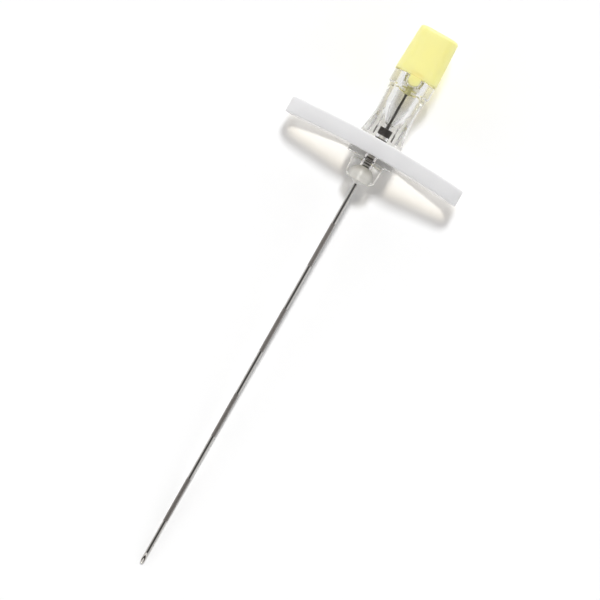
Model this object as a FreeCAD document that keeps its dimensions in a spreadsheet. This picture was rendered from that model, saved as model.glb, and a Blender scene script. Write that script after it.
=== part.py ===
import FreeCAD
import Part
import Sketcher
import math
import os
from types import SimpleNamespace

# Epidural needle, 20 gauge by 90 mm, in millimetres.
# Every piece is drawn in the needle's own frame. Its X axis is the cannula's axis and points to
# the tip, the hub's nose face is at X = 0, and +Z is the side of the bevel and of the key.
# At the end one placement lays the whole needle down as it rests on a table.

# Driving sizes

DRIVING_SIZES = {
    # Cannula
    "exposed_length": 90.0,
    "cannula_diameter": 0.90,
    "bore_diameter": 0.64,
    "cannula_reach": 12.5,
    "tip_bend_radius": 6.0,
    "tip_bend_angle": 24.0,
    "tip_spare_angle": 6.0,
    "bevel_angle": 7.5,
    # Stylet wire
    "wire_diameter": 0.55,
    "wire_clearance": 0.04,
    "wire_hold": 6.5,
    # Anchor sleeve
    "sleeve_diameter": 1.70,
    "sleeve_set_back": 0.75,
    "sleeve_head": 1.7,
    "sleeve_groove_width": 0.3,
    "sleeve_groove_depth": 0.14,
    "grip_length": 2.45,
    "grip_pitch": 0.62,
    "grip_grooves": 4,
    "bond_gap": 0.01,
    # Hub
    "hub_length": 23.9,
    "rim_diameter": 9.2,
    "rim_height": 2.7,
    "rim_step": 0.35,
    "rim_chamfer": 0.25,
    "waist_back_diameter": 7.87,
    "waist_back_distance": 6.7,
    "waist_front_diameter": 8.17,
    "waist_front_distance": 10.35,
    "flange_diameter": 9.4,
    "flange_thickness": 0.6,
    "seat_diameter": 7.4,
    "front_flange_diameter": 10.2,
    "front_flange_thickness": 1.2,
    "front_flange_chamfer": 0.25,
    "nose_base_diameter": 7.0,
    "nose_end_diameter": 6.4,
    "nose_chamfer": 0.7,
    "socket_mouth_diameter": 4.3,
    "socket_depth": 6.9,
    "socket_taper": 0.06,
    "funnel_throat_diameter": 0.72,
    "funnel_knee_diameter": 1.6,
    "funnel_knee_distance": 0.45,
    "well_depth": 3.2,
    "well_mouth_diameter": 3.4,
    "well_knee_diameter": 3.3,
    "well_knee_depth": 1.8,
    "flute_count": 4,
    "first_flute_angle": 45.0,
    "flute_radius": 2.0,
    "flute_floor_radius": 3.5,
    "flute_length": 6.4,
    # Wing
    "wing_span": 39.8,
    "wing_height": 11.4,
    "wing_depth": 3.5,
    "wing_flat_length": 13.0,
    "wing_end_radius": 3.8,
    "wing_wall": 0.9,
    "web_thickness": 0.9,
    "wing_sweep_radius": 290.0,
    "wing_chamfer": 0.3,
    "boss_diameter": 10.2,
    "wing_fit": 0.02,
    "wing_set_back": 5.8,
    # Adhesive
    "meniscus_length": 0.7,
    "meniscus_edge": 0.05,
    "meniscus_knee_diameter": 1.6,
    "meniscus_knee_length": 0.25,
    # Stylet cap
    "cap_base_width": 9.4,
    "cap_top_width": 8.5,
    "cap_length": 10.2,
    "cap_corner_radius": 2.2,
    "cap_top_chamfer": 0.5,
    "cap_wall": 0.8,
    "cap_top_wall": 0.9,
    "cap_seat_gap": 0.04,
    "post_diameter": 1.3,
    "post_length": 3.6,
    "plug_length": 0.9,
    "plug_clearance": 0.03,
    "plug_chamfer": 0.2,
    # Key
    "key_width": 2.5,
    "key_straight": 1.3,
    "key_end_radius": 1.5,
    "key_floor": 3.05,
    "key_clearance": 0.1,
    # Outlines that only cut or trim reach past the piece by these shares of its size
    "cannula_overrun_share": 5.0,
    "wing_overrun_share": 0.6,
}

NODES = [
    "cannula",
    "anchor_sleeve",
    "hub",
    "wing",
    "adhesive",
    "stylet_wire",
    "stylet_cap",
]

doc = FreeCAD.newDocument("epidural_needle")
sheet = doc.addObject("Spreadsheet::Sheet", "Sizes")
for row, (alias, number) in enumerate(DRIVING_SIZES.items(), start=1):
    sheet.set(f"A{row}", alias)
    sheet.set(f"B{row}", str(number))
    sheet.setAlias(f"B{row}", alias)
doc.recompute()


# Lengths that carry their formula


class Term:
    """A length with its value and the formula that gives it from the sheet."""

    def __init__(self, value, formula):
        self.value = value
        self.formula = formula

    def joined(self, other, sign, value):
        return Term(value, f"({self.formula} {sign} {other.formula})")

    def __add__(self, other):
        other = as_term(other)
        return self.joined(other, "+", self.value + other.value)

    def __radd__(self, other):
        return as_term(other) + self

    def __sub__(self, other):
        other = as_term(other)
        return self.joined(other, "-", self.value - other.value)

    def __rsub__(self, other):
        return as_term(other) - self

    def __mul__(self, other):
        other = as_term(other)
        return self.joined(other, "*", self.value * other.value)

    def __rmul__(self, other):
        return as_term(other) * self

    def __truediv__(self, other):
        other = as_term(other)
        return self.joined(other, "/", self.value / other.value)

    def __neg__(self):
        return as_term(0) - self


def as_term(number):
    """A plain number as a term, and a term as it is."""
    if isinstance(number, Term):
        return number
    return Term(float(number), repr(float(number)))


def sine(degrees):
    return Term(math.sin(math.radians(degrees.value)), f"sin({degrees.formula} * 1 deg)")


def cosine(degrees):
    return Term(math.cos(math.radians(degrees.value)), f"cos({degrees.formula} * 1 deg)")


def tangent(degrees):
    return Term(math.tan(math.radians(degrees.value)), f"tan({degrees.formula} * 1 deg)")


ZERO = as_term(0)
size = SimpleNamespace(**{name: Term(float(sheet.get(name)), f"Sizes.{name}") for name in DRIVING_SIZES})


# Places along the axis and radii that several pieces share

cannula_radius = size.cannula_diameter / 2
bore_radius = size.bore_diameter / 2
wire_radius = size.wire_diameter / 2
sleeve_radius = size.sleeve_diameter / 2
rim_x = -size.hub_length
rim_radius = size.rim_diameter / 2
mouth_radius = size.socket_mouth_diameter / 2
socket_end_radius = mouth_radius - size.socket_depth * size.socket_taper / 2
well_mouth_radius = size.well_mouth_diameter / 2
seat_radius = size.seat_diameter / 2
cannula_back_x = -size.cannula_reach
sleeve_back_x = cannula_back_x + size.sleeve_set_back
well_floor_x = -size.well_depth
wing_front_x = -size.wing_set_back
wing_back_x = wing_front_x - size.wing_depth
cap_base_x = rim_x - size.cap_seat_gap
cap_top_x = cap_base_x - size.cap_length
plug_end_x = rim_x + size.plug_length
post_end_x = rim_x + size.post_length
wire_end_x = cap_base_x - size.wire_hold

# Half the length of the outlines that cut past the cannula, and of those that cut past the wing.
cannula_overrun = size.cannula_diameter * size.cannula_overrun_share
wing_overrun = size.wing_span * size.wing_overrun_share

# The point lies on the bent tube's underside, and the bend starts that far behind it.
tip_outer_radius = size.tip_bend_radius + cannula_radius
bend_start_x = size.exposed_length - tip_outer_radius * sine(size.tip_bend_angle)
point_z = size.tip_bend_radius - tip_outer_radius * cosine(size.tip_bend_angle)


# Drawing helpers


def new_body(name):
    body = doc.addObject("PartDesign::Body", name)
    body.Label = name
    return body


def new_sketch(body, name, role, offset=None):
    """A sketch on one of the body's own origin planes, moved along the plane's normal."""
    sketch = body.newObject("Sketcher::SketchObject", name)
    planes = [item for item in body.Origin.OriginFeatures if item.Role == role]
    sketch.AttachmentSupport = [(planes[0], "")]
    sketch.MapMode = "FlatFace"
    if offset is not None:
        sketch.setExpression("AttachmentOffset.Base.z", offset.formula)
    return sketch


def free_sketch(name, rotation):
    """A sketch outside any body, for the solids that are made by extrusion and booleans."""
    sketch = doc.addObject("Sketcher::SketchObject", name)
    sketch.Placement = FreeCAD.Placement(FreeCAD.Vector(), rotation)
    return sketch


def bind(sketch, constraint, name, formula):
    """Adds a constraint under a name and ties its value to the sheet."""
    index = sketch.addConstraint(constraint)
    sketch.renameConstraint(index, name)
    sketch.setExpression(f"Constraints.{name}", formula)


def bind_corner(sketch, name, edge, end, corner):
    """Holds an edge's end at a corner, on an axis where a coordinate is zero."""
    across, up = corner
    if across is ZERO:
        sketch.addConstraint(Sketcher.Constraint("PointOnObject", edge, end, -2))
    else:
        rule = Sketcher.Constraint("DistanceX", -1, 1, edge, end, across.value)
        bind(sketch, rule, f"{name}_across", across.formula)
    if up is ZERO:
        sketch.addConstraint(Sketcher.Constraint("PointOnObject", edge, end, -1))
    else:
        rule = Sketcher.Constraint("DistanceY", -1, 1, edge, end, up.value)
        bind(sketch, rule, f"{name}_up", up.formula)


def arc_between(start, end, radius, side):
    """An arc between two corners that bows to the left (side 1) or the right (side -1) of the way.

    A sketch's arcs run counterclockwise, so one that bows to the left is drawn from its end.
    """
    chord = end - start
    half = chord.Length / 2
    middle = (start + end) / 2
    left = FreeCAD.Vector(-chord.y, chord.x, 0).normalize()
    rise = radius - math.sqrt(max(radius**2 - half**2, 0.0))
    crown = middle + left * (side * rise)
    if side > 0:
        return Part.Arc(end, crown, start)
    return Part.Arc(start, crown, end)


def draw_outline(sketch, prefix, corners, arcs=None):
    """Draws a closed outline. arcs maps a corner's number to the radius and side of the arc after it."""
    arcs = arcs or {}
    places = [FreeCAD.Vector(across.value, up.value, 0) for across, up in corners]
    edges = []
    for number, start in enumerate(places):
        end = places[(number + 1) % len(places)]
        if number in arcs:
            radius, side = arcs[number]
            edge = sketch.addGeometry(arc_between(start, end, radius.value, side), False)
            first = 2 if side > 0 else 1
        else:
            edge = sketch.addGeometry(Part.LineSegment(start, end), False)
            first = 1
        edges.append((edge, first, 3 - first))
    for number, (edge, first, last) in enumerate(edges):
        following, following_first, _ = edges[(number + 1) % len(edges)]
        sketch.addConstraint(Sketcher.Constraint("Coincident", edge, last, following, following_first))
        bind_corner(sketch, f"{prefix}_{number}", edge, first, corners[number])
        if number in arcs:
            radius = arcs[number][0]
            rule = Sketcher.Constraint("Radius", edge, radius.value)
            bind(sketch, rule, f"{prefix}_{number}_radius", radius.formula)
    return edges


def draw_circle(sketch, name, centre, radius):
    """Draws a circle held by its centre and radius."""
    across, up = centre
    place = FreeCAD.Vector(across.value, up.value, 0)
    edge = sketch.addGeometry(Part.Circle(place, FreeCAD.Vector(0, 0, 1), radius.value), False)
    bind_corner(sketch, name, edge, 3, centre)
    bind(sketch, Sketcher.Constraint("Radius", edge, radius.value), f"{name}_radius", radius.formula)


def draw_rounded_square(sketch, prefix, half, corner):
    """Draws a square with round corners about the sketch's origin."""
    straight = half - corner
    corners = [
        (straight, -half),
        (half, -straight),
        (half, straight),
        (straight, half),
        (-straight, half),
        (-half, straight),
        (-half, -straight),
        (-straight, -half),
    ]
    bows = {number: (corner, -1) for number in (0, 2, 4, 6)}
    draw_outline(sketch, prefix, corners, bows)


def revolve(body, name, sketch, kind="PartDesign::Revolution"):
    """Turns a sketch in the XZ plane about the needle's axis."""
    feature = body.newObject(kind, name)
    feature.Profile = sketch
    feature.ReferenceAxis = (sketch, ["H_Axis"])
    feature.Angle = 360.0
    doc.recompute()
    return feature


def cut_whole_width(body, name, sketch):
    """Cuts a sketch out of the body to both sides of its plane."""
    before = body.Shape.Volume
    pocket = body.newObject("PartDesign::Pocket", name)
    pocket.Profile = sketch
    pocket.Type = "ThroughAll"
    pocket.Midplane = True
    doc.recompute()
    require_less(body, before, name)
    return pocket


def require_less(body, before, name):
    if body.Shape.Volume >= before:
        raise RuntimeError(f"{name} cuts nothing")


# Cannula and stylet wire


def bent_pipe(body, back_x, radii):
    """Sweeps one circle, or a ring of two, from back_x along the shaft and round the tip's bend."""
    spare_bend = size.tip_bend_angle + size.tip_spare_angle
    path = new_sketch(body, f"{body.Label}_path", "XZ_Plane")
    bend_start = FreeCAD.Vector(bend_start_x.value, 0, 0)
    straight = path.addGeometry(Part.LineSegment(FreeCAD.Vector(back_x.value, 0, 0), bend_start), False)
    end = (
        bend_start_x + size.tip_bend_radius * sine(spare_bend),
        size.tip_bend_radius - size.tip_bend_radius * cosine(spare_bend),
    )
    bend_end = FreeCAD.Vector(end[0].value, end[1].value, 0)
    bend = path.addGeometry(arc_between(bend_start, bend_end, size.tip_bend_radius.value, -1), False)
    bind_corner(path, "back", straight, 1, (back_x, ZERO))
    bind_corner(path, "bend_start", straight, 2, (bend_start_x, ZERO))
    path.addConstraint(Sketcher.Constraint("Coincident", straight, 2, bend, 1))
    bind_corner(path, "bend_end", bend, 2, end)
    rule = Sketcher.Constraint("Radius", bend, size.tip_bend_radius.value)
    bind(path, rule, "bend_radius", size.tip_bend_radius.formula)
    section = new_sketch(body, f"{body.Label}_section", "YZ_Plane", back_x)
    for number, radius in enumerate(radii):
        draw_circle(section, f"ring_{number}", (ZERO, ZERO), radius)
    doc.recompute()
    pipe = body.newObject("PartDesign::AdditivePipe", f"{body.Label}_pipe")
    pipe.Profile = section
    pipe.Spine = path
    doc.recompute()
    return pipe


def grind_bevel(body):
    """Grinds the bent end flat, from the heel on top down to the point on the underside."""
    reach = cannula_overrun
    slope = tangent(size.bevel_angle)
    sketch = new_sketch(body, f"{body.Label}_bevel_plane", "XZ_Plane")
    corners = [
        (size.exposed_length + reach, point_z - reach * slope),
        (size.exposed_length + reach, reach),
        (size.exposed_length - reach, reach),
        (size.exposed_length - reach, point_z + reach * slope),
    ]
    draw_outline(sketch, "bevel", corners)
    cut_whole_width(body, f"{body.Label}_bevel", sketch)


def make_cannula():
    body = new_body("cannula")
    bent_pipe(body, cannula_back_x, [cannula_radius, bore_radius])
    grind_bevel(body)
    return body


def make_stylet_wire():
    """The wire follows the bore at the tip but stays inside its own straight cylinder, so it slides out."""
    body = new_body("stylet_wire")
    bent_pipe(body, wire_end_x, [bore_radius - size.wire_clearance])
    outside = new_sketch(body, "wire_trim_outline", "XZ_Plane")
    corners = [
        (wire_end_x - cannula_overrun, wire_radius),
        (size.exposed_length + cannula_overrun, wire_radius),
        (size.exposed_length + cannula_overrun, cannula_overrun),
        (wire_end_x - cannula_overrun, cannula_overrun),
    ]
    draw_outline(outside, "trim", corners)
    before = body.Shape.Volume
    revolve(body, "wire_trim", outside, "PartDesign::Groove")
    require_less(body, before, "wire_trim")
    grind_bevel(body)
    return body


# Anchor sleeve


def cut_groove(body, name, start_x):
    """Turns one groove into the sleeve's outside."""
    profile = new_sketch(body, f"{name}_profile", "XZ_Plane")
    floor = sleeve_radius - size.sleeve_groove_depth
    beyond = sleeve_radius + size.sleeve_groove_depth
    corners = [
        (start_x, floor),
        (start_x + size.sleeve_groove_width, floor),
        (start_x + size.sleeve_groove_width, beyond),
        (start_x, beyond),
    ]
    draw_outline(profile, "groove", corners)
    before = body.Shape.Volume
    groove = revolve(body, name, profile, "PartDesign::Groove")
    require_less(body, before, name)
    return groove


def make_anchor_sleeve():
    """A tube with one groove behind its head, and a row of them where the adhesive grips."""
    body = new_body("anchor_sleeve")
    profile = new_sketch(body, "sleeve_profile", "XZ_Plane")
    inner = cannula_radius + size.bond_gap
    corners = [
        (sleeve_back_x, inner),
        (well_floor_x, inner),
        (well_floor_x, sleeve_radius),
        (sleeve_back_x, sleeve_radius),
    ]
    draw_outline(profile, "sleeve", corners)
    revolve(body, "sleeve_tube", profile)
    cut_groove(body, "head_groove", sleeve_back_x + size.sleeve_head)
    grip = cut_groove(body, "grip_groove", well_floor_x - size.grip_length)
    row_of_grooves = body.newObject("PartDesign::LinearPattern", "grip_grooves")
    row_of_grooves.Originals = [grip]
    row_of_grooves.Direction = (profile, ["H_Axis"])
    row_of_grooves.setExpression("Occurrences", size.grip_grooves.formula)
    run = size.grip_pitch * (size.grip_grooves - 1)
    row_of_grooves.setExpression("Length", run.formula)
    body.Tip = row_of_grooves
    doc.recompute()
    return body


# Hub


def make_hub():
    body = new_body("hub")
    profile = new_sketch(body, "hub_profile", "XZ_Plane")
    neck_x = rim_x + size.rim_height
    flange_radius = size.flange_diameter / 2
    flange_back_x = wing_back_x - size.flange_thickness
    front_flange_radius = size.front_flange_diameter / 2
    front_flange_x = wing_front_x + size.wing_fit
    front_flange_end_x = front_flange_x + size.front_flange_thickness
    seat_inner = cannula_radius + size.bond_gap
    throat_radius = size.funnel_throat_diameter / 2
    corners = [
        (rim_x, mouth_radius),
        (rim_x, rim_radius - size.rim_chamfer),
        (rim_x + size.rim_chamfer, rim_radius),
        (neck_x, rim_radius),
        (neck_x + size.rim_step, rim_radius - size.rim_step),
        (rim_x + size.waist_back_distance, size.waist_back_diameter / 2),
        (rim_x + size.waist_front_distance, size.waist_front_diameter / 2),
        (flange_back_x, flange_radius),
        (wing_back_x, flange_radius),
        (wing_back_x, seat_radius),
        (front_flange_x, seat_radius),
        (front_flange_x, front_flange_radius),
        (front_flange_end_x - size.front_flange_chamfer, front_flange_radius),
        (front_flange_end_x, front_flange_radius - size.front_flange_chamfer),
        (front_flange_end_x, size.nose_base_diameter / 2),
        (-size.nose_chamfer, size.nose_end_diameter / 2),
        (ZERO, size.nose_end_diameter / 2 - size.nose_chamfer),
        (ZERO, well_mouth_radius),
        (-size.well_knee_depth, size.well_knee_diameter / 2),
        (well_floor_x, sleeve_radius),
        (sleeve_back_x, sleeve_radius),
        (sleeve_back_x, seat_inner),
        (cannula_back_x, seat_inner),
        (cannula_back_x, throat_radius),
        (cannula_back_x - size.funnel_knee_distance, size.funnel_knee_diameter / 2),
        (rim_x + size.socket_depth, socket_end_radius),
    ]
    draw_outline(profile, "hub", corners)
    revolve(body, "hub_turned", profile)

    notch = new_sketch(body, "key_notch_outline", "XY_Plane", size.key_floor - size.key_clearance)
    half = size.key_width / 2 + size.key_clearance
    floor_x = rim_x + size.key_straight + size.key_clearance / 2
    corners = [
        (rim_x - size.rim_height, -half),
        (floor_x, -half),
        (floor_x, half),
        (rim_x - size.rim_height, half),
    ]
    draw_outline(notch, "notch", corners, {1: (size.key_end_radius + size.key_clearance, -1)})
    before = body.Shape.Volume
    notch_cut = body.newObject("PartDesign::Pocket", "key_notch")
    notch_cut.Profile = notch
    notch_cut.Type = "ThroughAll"
    notch_cut.Reversed = True
    doc.recompute()
    require_less(body, before, "key_notch")

    flute = new_sketch(body, "flute_outline", "YZ_Plane", flange_back_x)
    flute_out = size.flute_floor_radius + size.flute_radius
    flute_centre = (flute_out * cosine(size.first_flute_angle), flute_out * sine(size.first_flute_angle))
    draw_circle(flute, "flute", flute_centre, size.flute_radius)
    before = body.Shape.Volume
    flute_cut = body.newObject("PartDesign::Pocket", "flute")
    flute_cut.Profile = flute
    flute_cut.setExpression("Length", size.flute_length.formula)
    doc.recompute()
    require_less(body, before, "flute")
    ring_of_flutes = body.newObject("PartDesign::PolarPattern", "flutes")
    ring_of_flutes.Originals = [flute_cut]
    ring_of_flutes.Axis = (profile, ["H_Axis"])
    ring_of_flutes.Angle = 360.0
    ring_of_flutes.setExpression("Occurrences", size.flute_count.formula)
    body.Tip = ring_of_flutes
    doc.recompute()
    return body


# Adhesive


def make_adhesive():
    body = new_body("adhesive")
    profile = new_sketch(body, "adhesive_profile", "XZ_Plane")
    corners = [
        (well_floor_x, cannula_radius),
        (well_floor_x, sleeve_radius),
        (-size.well_knee_depth, size.well_knee_diameter / 2),
        (ZERO, well_mouth_radius),
        (size.meniscus_knee_length, size.meniscus_knee_diameter / 2),
        (size.meniscus_length, cannula_radius + size.meniscus_edge),
        (size.meniscus_length, cannula_radius),
    ]
    draw_outline(profile, "adhesive", corners)
    revolve(body, "adhesive_turned", profile)
    return body


# Wing

LOOK_ALONG_X = FreeCAD.Rotation(FreeCAD.Vector(0, 1, 0), FreeCAD.Vector(0, 0, 1), FreeCAD.Vector(1, 0, 0), "ZXY")
LOOK_DOWN = FreeCAD.Rotation()


def draw_wing_outline(sketch, prefix, inset):
    """The wing seen along the axis: flat long edges, tapering to a round end on each side."""
    half_flat = size.wing_flat_length / 2
    half_height = size.wing_height / 2 - inset
    radius = size.wing_end_radius - inset
    centre_y = size.wing_span / 2 - size.wing_end_radius
    run = centre_y.value - half_flat.value
    lean = math.atan2(half_height.value, run) - math.asin(radius.value / math.hypot(run, half_height.value))
    touch = FreeCAD.Vector(
        centre_y.value + radius.value * math.sin(lean),
        radius.value * math.cos(lean),
        0,
    )
    top = half_height.value
    flat = half_flat.value
    places = [
        FreeCAD.Vector(-flat, top, 0),
        FreeCAD.Vector(flat, top, 0),
        touch,
        FreeCAD.Vector(touch.x, -touch.y, 0),
        FreeCAD.Vector(flat, -top, 0),
        FreeCAD.Vector(-flat, -top, 0),
        FreeCAD.Vector(-touch.x, -touch.y, 0),
        FreeCAD.Vector(-touch.x, touch.y, 0),
    ]
    edges = []
    for number, start in enumerate(places):
        end = places[(number + 1) % len(places)]
        if number in (2, 6):
            sign = 1 if number == 2 else -1
            outermost = FreeCAD.Vector(sign * (centre_y.value + radius.value), 0, 0)
            edge = sketch.addGeometry(Part.Arc(end, outermost, start), False)
            first = 2
        else:
            edge = sketch.addGeometry(Part.LineSegment(start, end), False)
            first = 1
        edges.append((edge, first, 3 - first))
    for number, (edge, first, last) in enumerate(edges):
        following, following_first, _ = edges[(number + 1) % len(edges)]
        kind = "Tangent" if number in (1, 2, 5, 6) else "Coincident"
        sketch.addConstraint(Sketcher.Constraint(kind, edge, last, following, following_first))
    bind_corner(sketch, f"{prefix}_top_left", edges[0][0], 1, (-half_flat, half_height))
    bind_corner(sketch, f"{prefix}_top_right", edges[0][0], 2, (half_flat, half_height))
    bind_corner(sketch, f"{prefix}_low_right", edges[4][0], 1, (half_flat, -half_height))
    bind_corner(sketch, f"{prefix}_low_left", edges[4][0], 2, (-half_flat, -half_height))
    for number, side, place in ((2, "right", centre_y), (6, "left", -centre_y)):
        bind_corner(sketch, f"{prefix}_{side}_centre", edges[number][0], 3, (place, ZERO))
        rule = Sketcher.Constraint("Radius", edges[number][0], radius.value)
        bind(sketch, rule, f"{prefix}_{side}_radius", radius.formula)


def draw_swept_band(sketch, prefix, back_x, front_x):
    """The wing seen from above: a band whose ends lean towards the tip."""
    sweep = size.wing_sweep_radius
    bow = sweep - root(sweep * sweep - wing_overrun * wing_overrun)
    corners = [
        (back_x + bow, -wing_overrun),
        (front_x + bow, -wing_overrun),
        (front_x + bow, wing_overrun),
        (back_x + bow, wing_overrun),
    ]
    arcs = {1: (sweep, 1), 3: (sweep, -1)}
    draw_outline(sketch, prefix, corners, arcs)


def root(area):
    return Term(math.sqrt(area.value), f"sqrt({area.formula})")


def extrude(name, sketch, direction, length):
    """Extrudes a sketch by half the length to each side of its plane."""
    feature = doc.addObject("Part::Extrusion", name)
    feature.Base = sketch
    feature.DirMode = "Custom"
    feature.Dir = direction
    feature.Solid = True
    feature.Symmetric = True
    feature.setExpression("LengthFwd", length.formula)
    return feature


def combine(kind, name, pieces):
    """A boolean of two or more solids."""
    feature = doc.addObject(kind, name)
    if kind == "Part::Cut":
        feature.Base, feature.Tool = pieces
    else:
        feature.Shapes = pieces
    doc.recompute()
    return feature


def tube_along_axis(name, radius, back_x, front_x):
    """A cylinder on the needle's axis from back_x to front_x."""
    feature = doc.addObject("Part::Cylinder", name)
    feature.setExpression("Radius", radius.formula)
    feature.setExpression("Height", (front_x - back_x).formula)
    feature.Placement = FreeCAD.Placement(FreeCAD.Vector(), FreeCAD.Rotation(FreeCAD.Vector(0, 1, 0), 90))
    feature.setExpression("Placement.Base.x", back_x.formula)
    return feature


def outer_edges(shape, outline):
    """Numbers of the edges that run round the wing's outside, without those along the axis."""
    numbers = []
    for number, edge in enumerate(shape.Edges, start=1):
        middle = edge.valueAt((edge.FirstParameter + edge.LastParameter) / 2)
        across = Part.Vertex(FreeCAD.Vector(0, middle.y, middle.z))
        on_outline = across.distToShape(outline)[0] < 0.01
        ends = [vertex.Point for vertex in edge.Vertexes]
        along_axis = math.hypot(ends[0].y - ends[-1].y, ends[0].z - ends[-1].z) < 0.01
        if on_outline and not along_axis:
            numbers.append(number)
    return numbers


def make_wing():
    full = free_sketch("wing_outline", LOOK_ALONG_X)
    draw_wing_outline(full, "outer", ZERO)
    hollow = free_sketch("wing_hollow", LOOK_ALONG_X)
    draw_wing_outline(hollow, "inner", size.wing_wall)
    band = free_sketch("wing_band", LOOK_DOWN)
    draw_swept_band(band, "band", wing_back_x, wing_front_x)
    web_band = free_sketch("web_band", LOOK_DOWN)
    web_middle = (wing_back_x + wing_front_x) / 2
    half_web = size.web_thickness / 2
    draw_swept_band(web_band, "web", web_middle - half_web, web_middle + half_web)
    doc.recompute()

    along = FreeCAD.Vector(1, 0, 0)
    upward = FreeCAD.Vector(0, 0, 1)
    outline_solid = extrude("wing_outline_solid", full, along, size.wing_span)
    hollow_solid = extrude("wing_hollow_solid", hollow, along, size.wing_span)
    band_solid = extrude("wing_band_solid", band, upward, size.wing_span)
    web_solid = extrude("web_band_solid", web_band, upward, size.wing_span)
    doc.recompute()
    ring = combine("Part::Cut", "wing_ring", [outline_solid, hollow_solid])
    rim = combine("Part::MultiCommon", "wing_rim", [ring, band_solid])
    web = combine("Part::MultiCommon", "wing_web", [outline_solid, web_solid])
    boss = tube_along_axis("wing_boss", size.boss_diameter / 2, wing_back_x, wing_front_x)
    joined = combine("Part::MultiFuse", "wing_joined", [rim, web, boss])
    bore = tube_along_axis(
        "wing_bore", seat_radius + size.wing_fit, wing_back_x - size.wing_depth, wing_front_x + size.wing_depth
    )
    bored = combine("Part::Cut", "wing_bored", [joined, bore])
    outline = full.Shape
    softened = doc.addObject("Part::Chamfer", "wing_softened")
    softened.Base = bored
    width = size.wing_chamfer.value
    softened.Edges = [(number, width, width) for number in outer_edges(bored.Shape, outline)]
    softened.Label = "wing"
    doc.recompute()
    return softened


# Stylet cap


def make_stylet_cap():
    body = new_body("stylet_cap")
    half_base = size.cap_base_width / 2
    half_top = size.cap_top_width / 2
    base = new_sketch(body, "cap_base_outline", "YZ_Plane", cap_base_x)
    draw_rounded_square(base, "base", half_base, size.cap_corner_radius)
    top = new_sketch(body, "cap_top_outline", "YZ_Plane", cap_top_x)
    draw_rounded_square(top, "top", half_top, size.cap_corner_radius)
    doc.recompute()
    block = body.newObject("PartDesign::AdditiveLoft", "cap_block")
    block.Profile = base
    block.Sections = [top]
    block.Ruled = True
    doc.recompute()

    edges = []
    for number, edge in enumerate(block.Shape.Edges, start=1):
        if all(abs(vertex.X - cap_top_x.value) < 0.001 for vertex in edge.Vertexes):
            edges.append(f"Edge{number}")
    chamfer = body.newObject("PartDesign::Chamfer", "cap_top_chamfer")
    chamfer.Base = (block, edges)
    chamfer.setExpression("Size", size.cap_top_chamfer.formula)
    doc.recompute()

    inner_corner = size.cap_corner_radius - size.cap_wall
    core_base = new_sketch(body, "core_base_outline", "YZ_Plane", cap_base_x)
    draw_rounded_square(core_base, "core_base", half_base - size.cap_wall, inner_corner)
    core_top_x = cap_top_x + size.cap_top_wall
    core_top = new_sketch(body, "core_top_outline", "YZ_Plane", core_top_x)
    draw_rounded_square(core_top, "core_top", half_top - size.cap_wall, inner_corner)
    doc.recompute()
    before = body.Shape.Volume
    core = body.newObject("PartDesign::SubtractiveLoft", "cap_core")
    core.Profile = core_base
    core.Sections = [core_top]
    core.Ruled = True
    doc.recompute()
    require_less(body, before, "cap_core")

    post = new_sketch(body, "post_profile", "XZ_Plane")
    plug_end_radius = mouth_radius - size.plug_clearance - size.plug_length * size.socket_taper / 2
    plug_base_radius = mouth_radius - size.plug_clearance
    corners = [
        (post_end_x, wire_radius),
        (post_end_x, size.post_diameter / 2),
        (plug_end_x, size.post_diameter / 2),
        (plug_end_x, plug_end_radius - size.plug_chamfer),
        (plug_end_x - size.plug_chamfer, plug_end_radius),
        (rim_x, plug_base_radius),
        (cap_base_x - size.cap_wall, plug_base_radius),
        (cap_base_x - size.cap_wall, size.post_diameter / 2),
        (core_top_x - size.cap_top_wall / 2, size.post_diameter / 2),
        (core_top_x - size.cap_top_wall / 2, ZERO),
        (wire_end_x, ZERO),
        (wire_end_x, wire_radius),
    ]
    draw_outline(post, "post", corners)
    revolve(body, "post_and_plug", post)

    key = new_sketch(body, "key_outline", "XY_Plane", size.key_floor)
    half = size.key_width / 2
    round_x = rim_x + size.key_straight
    corners = [
        (cap_base_x - size.cap_wall, -half),
        (round_x, -half),
        (round_x, half),
        (cap_base_x - size.cap_wall, half),
    ]
    draw_outline(key, "key", corners, {1: (size.key_end_radius, -1)})
    tongue = body.newObject("PartDesign::Pad", "key_tongue")
    tongue.Profile = key
    tongue.setExpression("Length", (rim_radius - size.key_floor).formula)
    doc.recompute()
    return body


# The needle at rest


def rest_rotation():
    """The turn about Y that stands the wing's lower front edge and the bent tip on one plane."""
    half_flat = size.wing_flat_length.value / 2
    sweep = size.wing_sweep_radius.value
    edge_x = wing_front_x.value + sweep - math.sqrt(sweep**2 - half_flat**2) - size.wing_chamfer.value
    along = bend_start_x.value - edge_x
    upward = size.tip_bend_radius.value + size.wing_height.value / 2
    slope = math.acos(tip_outer_radius.value / math.hypot(along, upward)) - math.atan2(along, upward)
    return FreeCAD.Rotation(FreeCAD.Vector(0, 1, 0), math.degrees(slope))


def lay_down(pieces):
    """Turns all pieces alike and brings the middle of the resting needle's base to the origin."""
    turn = FreeCAD.Placement(FreeCAD.Vector(), rest_rotation())
    whole = FreeCAD.BoundBox()
    for piece in pieces:
        turned = piece.Shape.copy()
        turned.Placement = turn.multiply(turned.Placement)
        whole.add(turned.optimalBoundingBox(False, False))
    shift = FreeCAD.Vector(-whole.Center.x, -whole.Center.y, -whole.ZMin)
    for piece in pieces:
        piece.Placement = FreeCAD.Placement(shift, turn.Rotation)
    doc.recompute()


def check_all(pieces):
    """Stops if anything in the document failed or a piece is not one valid solid."""
    for item in doc.Objects:
        if "Invalid" in item.State or "Error" in item.State:
            raise RuntimeError(f"{item.Name} failed: {item.State}")
    for piece in pieces:
        shape = piece.Shape
        if shape.isNull() or not shape.isValid() or len(shape.Solids) != 1:
            raise RuntimeError(f"{piece.Label} is not one valid solid")


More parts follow.
